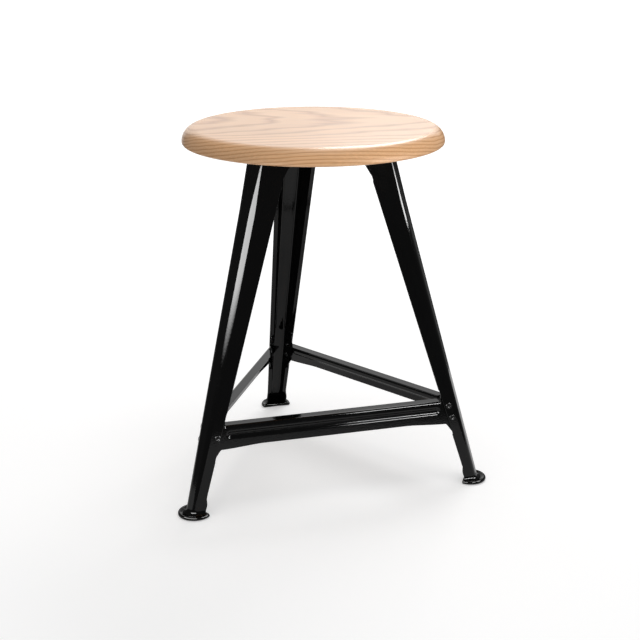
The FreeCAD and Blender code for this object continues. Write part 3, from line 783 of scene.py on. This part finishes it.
# for each kind of bar: the rivets' rises, their insets from the leg's edge, and the bar's end
RIVETS = {
    "stretcher": ((117.0, 6.4, 1), (99.5, 6.4, 1), (107.5, 4.1, -1)),
    "brace": ((BRACE_TOP - 6.5, 6.4, 1), (BRACE_TOP - 18.0, 6.4, 1), (BRACE_TOP - 12.0, 4.1, -1)),
}


def make_rivet(name, azimuth, across, rise):
    """A hollow-headed rivet: its profile from head to tail, turned about its own axis."""
    profile = np.concatenate([RIVET_HEAD, np.array(RIVET_TAIL) + [0.0, -RIVET_STACK]])
    angle = np.linspace(0.0, 2 * math.pi, RIVET_COLUMNS, endpoint=False)
    rings = np.stack(
        [
            across + profile[:, :1] * np.cos(angle),
            rise + profile[:, :1] * np.sin(angle),
            profile[:, 1:] + 0.0 * angle,
        ],
        axis=-1,
    )
    middle = [[across, rise, out] for out in RIVET_DIMPLES]
    points = from_side(np.concatenate([rings.reshape(-1, 3), middle]), azimuth)
    faces = capped_faces(*rings.shape[:2])
    make_piece(f"{name}_head", points, faces, RIVET_BLACK, [name], sharp=50.0)


def make_rivets(side, azimuth):
    """Two rivets at the side's right end and one at its left end, in each of its bars."""
    for kind, places in RIVETS.items():
        for number, (rise, inset, hand) in enumerate(places, start=1):
            across = hand * (free_edge(rise) + inset)
            make_rivet(f"{kind}_rivet_{side}_{number}", azimuth, across, rise)


# ---------------------------------------------------------------- floor, light, camera
CARD_COLUMNS = 40
CEILING_COLUMNS = 60
FLOOR_REACH = 60.0
FLOOR_DROP = 0.0006
# between two distances from the stool's axis, the floor's own light rises from 0.39 to 1
FLOOR_OWN_LIGHT = (0.6, 4.0, 0.39, 1.0)
# the light of the surroundings, first on surfaces and then as it is seen
WORLD_LIGHT = (0.5, 1.0)


def glow(name, radiance, clear=False, fade=None):
    """A material of even light, or of light that fades in between two heights.

    A clear one adds its light to what is behind it.
    """
    material = bpy.data.materials.new(name)
    material.use_nodes = True
    tree = material.node_tree
    tree.nodes.remove(tree.nodes["Principled BSDF"])
    emission = tree.nodes.new("ShaderNodeEmission")
    emission.inputs["Strength"].default_value = radiance
    surface = emission.outputs["Emission"]
    if fade:
        place = tree.nodes.new("ShaderNodeTexCoord")
        split = tree.nodes.new("ShaderNodeSeparateXYZ")
        span = tree.nodes.new("ShaderNodeMapRange")
        span.inputs["From Min"].default_value = fade[0]
        span.inputs["From Max"].default_value = fade[1]
        span.inputs["To Max"].default_value = radiance
        tree.links.new(place.outputs["Object"], split.inputs["Vector"])
        tree.links.new(split.outputs["Z"], span.inputs["Value"])
        tree.links.new(span.outputs["Result"], emission.inputs["Strength"])
    if clear:
        through = tree.nodes.new("ShaderNodeBsdfTransparent")
        both = tree.nodes.new("ShaderNodeAddShader")
        tree.links.new(surface, both.inputs[0])
        tree.links.new(through.outputs["BSDF"], both.inputs[1])
        surface = both.outputs["Shader"]
    tree.links.new(surface, tree.nodes["Material Output"].inputs["Surface"])
    return material


def add_card(name, points, faces, material):
    """A card that is seen in reflections alone: it lights nothing and casts no shadow."""
    card = add_mesh(name, points, faces, material)
    card.visible_camera = False
    card.visible_diffuse = False
    card.visible_transmission = False
    card.visible_volume_scatter = False
    card.visible_shadow = False
    return card


def make_card(name, azimuths, heights, distance, radiance, shown_to=None, fade=None):
    """A curved upright card round the stool: a part of a cylinder between two azimuths.

    One that is shown to a few pieces alone is clear, so that the rest see past it.
    """
    angle = np.radians(np.linspace(*azimuths, CARD_COLUMNS))
    level = np.array(heights)[:, None]
    points = np.stack(
        [
            distance * np.cos(angle) + 0.0 * level,
            distance * np.sin(angle) + 0.0 * level,
            level + 0.0 * angle,
        ],
        axis=-1,
    )
    faces = grid_faces(2, CARD_COLUMNS).tolist()
    card = add_card(name, points, faces, glow(name, radiance, bool(shown_to), fade))
    if shown_to:
        card.light_linking.receiver_collection = shown_to


def make_ceiling(name, azimuths, distance, height, radiance):
    """A level card over the stool: a sector of a disc."""
    angle = np.radians(np.linspace(*azimuths, CEILING_COLUMNS))
    ring = [distance * np.cos(angle), distance * np.sin(angle), height + 0.0 * angle]
    points = np.concatenate([np.stack(ring, axis=-1), [[0.0, 0.0, height]]])
    first = np.arange(CEILING_COLUMNS - 1)
    faces = np.stack([first, first + 1, np.full_like(first, CEILING_COLUMNS)], axis=1)
    add_card(name, points, faces.tolist(), glow(name, radiance))


def looked_at(tree):
    """1 for the camera's rays and for reflected or refracted ones, and 0 for all others."""
    light = tree.nodes.new("ShaderNodeLightPath")
    most = light.outputs["Is Camera Ray"]
    for other in ("Is Glossy Ray", "Is Transmission Ray"):
        larger = tree.nodes.new("ShaderNodeMath")
        larger.operation = "MAXIMUM"
        tree.links.new(most, larger.inputs[0])
        tree.links.new(light.outputs[other], larger.inputs[1])
        most = larger.outputs[0]
    return most


def make_floor():
    """A wide white floor: lamplight near the stool, and enough of its own to read as white."""
    nodes = Nodes("white floor")
    nodes.set("Base Color", (0.8, 0.8, 0.8, 1.0))
    nodes.set("Roughness", 1.0)
    nodes.set("Specular IOR Level", 0.0)
    away = nodes.add("ShaderNodeVectorMath", operation="LENGTH")
    nodes.join(nodes.place, away.inputs[0])
    own = nodes.span(away.outputs["Value"], *FLOOR_OWN_LIGHT)
    nodes.set("Emission Color", (1.0, 1.0, 1.0, 1.0))
    nodes.join(
        nodes.maths("MULTIPLY", looked_at(nodes.tree), own),
        nodes.shader.inputs["Emission Strength"],
    )
    corners = [(-1, -1, 0), (1, -1, 0), (1, 1, 0), (-1, 1, 0)]
    floor = add_mesh("floor", np.array(corners) * FLOOR_REACH, [(0, 1, 2, 3)], nodes.material)
    floor.location.z = -FLOOR_DROP


def make_softbox(name, place, aim, size, power, reflected=True):
    """A rectangular lamp at a place, turned to face the aim, unseen by the camera."""
    lamp = bpy.data.lights.new(name, "AREA")
    lamp.shape = "RECTANGLE"
    lamp.size, lamp.size_y = size
    lamp.energy = power
    light = bpy.data.objects.new(name, lamp)
    bpy.context.collection.objects.link(light)
    light.location = place
    light.visible_camera = False
    light.visible_glossy = reflected
    direction = Vector(aim) - Vector(place)
    light.rotation_euler = direction.to_track_quat("-Z", "Y").to_euler()
    return light


def make_world():
    """White surroundings for the eye and for reflections, and dim even light for the rest."""
    world = bpy.data.worlds.new("studio")
    world.use_nodes = True
    tree = world.node_tree
    background = tree.nodes["Background"]
    background.inputs["Color"].default_value = (1.0, 1.0, 1.0, 1.0)
    strength = tree.nodes.new("ShaderNodeMapRange")
    strength.inputs["To Min"].default_value = WORLD_LIGHT[0]
    strength.inputs["To Max"].default_value = WORLD_LIGHT[1]
    tree.links.new(looked_at(tree), strength.inputs["Value"])
    tree.links.new(strength.outputs["Result"], background.inputs["Strength"])
    bpy.context.scene.world = world


def make_camera():
    """The camera from which the photograph's outlines and the stool's agree."""
    camera = bpy.data.cameras.new("camera")
    camera.lens = 71.05
    camera.sensor_width = 36.0
    camera.clip_end = 100.0
    view = bpy.data.objects.new("camera", camera)
    bpy.context.collection.objects.link(view)
    view.location = (-0.46753, -1.65738, 0.79856)
    view.rotation_euler = (math.radians(71.52), 0.0, math.radians(-16.06))
    bpy.context.scene.camera = view


# ---------------------------------------------------------------- assembly
for node_name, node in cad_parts.items():
    finish = BLACK
    if "screw" in node_name:
        finish = ZINC
    elif "rivet" in node_name:
        finish = RIVET_BLACK
    elif node_name == "seat":
        finish = ASH
    for material_slot in node.material_slots:
        material_slot.material = finish

make_seat()
for leg_name, leg_azimuth in LEGS.items():
    make_leg(leg_name, leg_azimuth)
    make_foot(leg_name.replace("leg", "foot"), leg_azimuth)
for side_name, side_azimuth in SIDES.items():
    for bar_name, bar in (("stretcher", STRETCHER), ("seat_brace", BRACE)):
        replaced = f"{bar_name}_{side_name}"
        soften(make_bar(f"{replaced}_pressing", side_azimuth, bar, replaced))
    make_rivets(side_name, side_azimuth)

make_floor()
make_world()
make_card("dark flag", (-250.0, 35.0), (0.0, 1.35), 0.77, 0.16)
make_card("low flag", (35.0, 50.0), (0.0, 0.6), 0.77, 0.05)
make_ceiling("dark ceiling", (85.0, 395.0), 0.77, 1.35, 0.12)
make_card("left strip", (-178.0, -106.0), (0.24, 0.62), 0.73, 30.0, enamelled, (0.27, 0.4))
make_card("right strip", (-34.0, -12.0), (0.42, 0.9), 0.73, 34.0, enamelled)
make_card("front panel", (-70.0, -44.0), (0.56, 0.74), 0.72, 60.0, enamelled)
make_card("left glare", (-150.0, -125.0), (0.15, 0.4), 0.73, 3.0, wooden)
make_card("right glare", (-62.0, -30.0), (0.2, 0.5), 0.73, 4.0, wooden)
make_card("back glow", (20.0, 125.0), (0.5, 0.85), 1.0, 0.3, wooden)
make_card("overhead panel", (42.0, 72.0), (1.0, 1.9), 0.9, 9.0)
make_softbox("key softbox", (1.0, 1.2, 2.05), (0.0, 0.0, 0.4), (1.1, 1.1), 16.0, reflected=False)
fill = make_softbox(
    "fill softbox", (0.9, -1.9, 0.7), (0.0, 0.0, 0.4), (1.4, 1.1), 22.0, reflected=False
)
fill.light_linking.receiver_collection = wooden
make_softbox("top softbox", (0.1, -0.1, 2.4), (0.0, 0.0, 0.3), (1.2, 1.2), 8.0)
make_camera()
bpy.context.scene.view_settings.view_transform = "Standard"
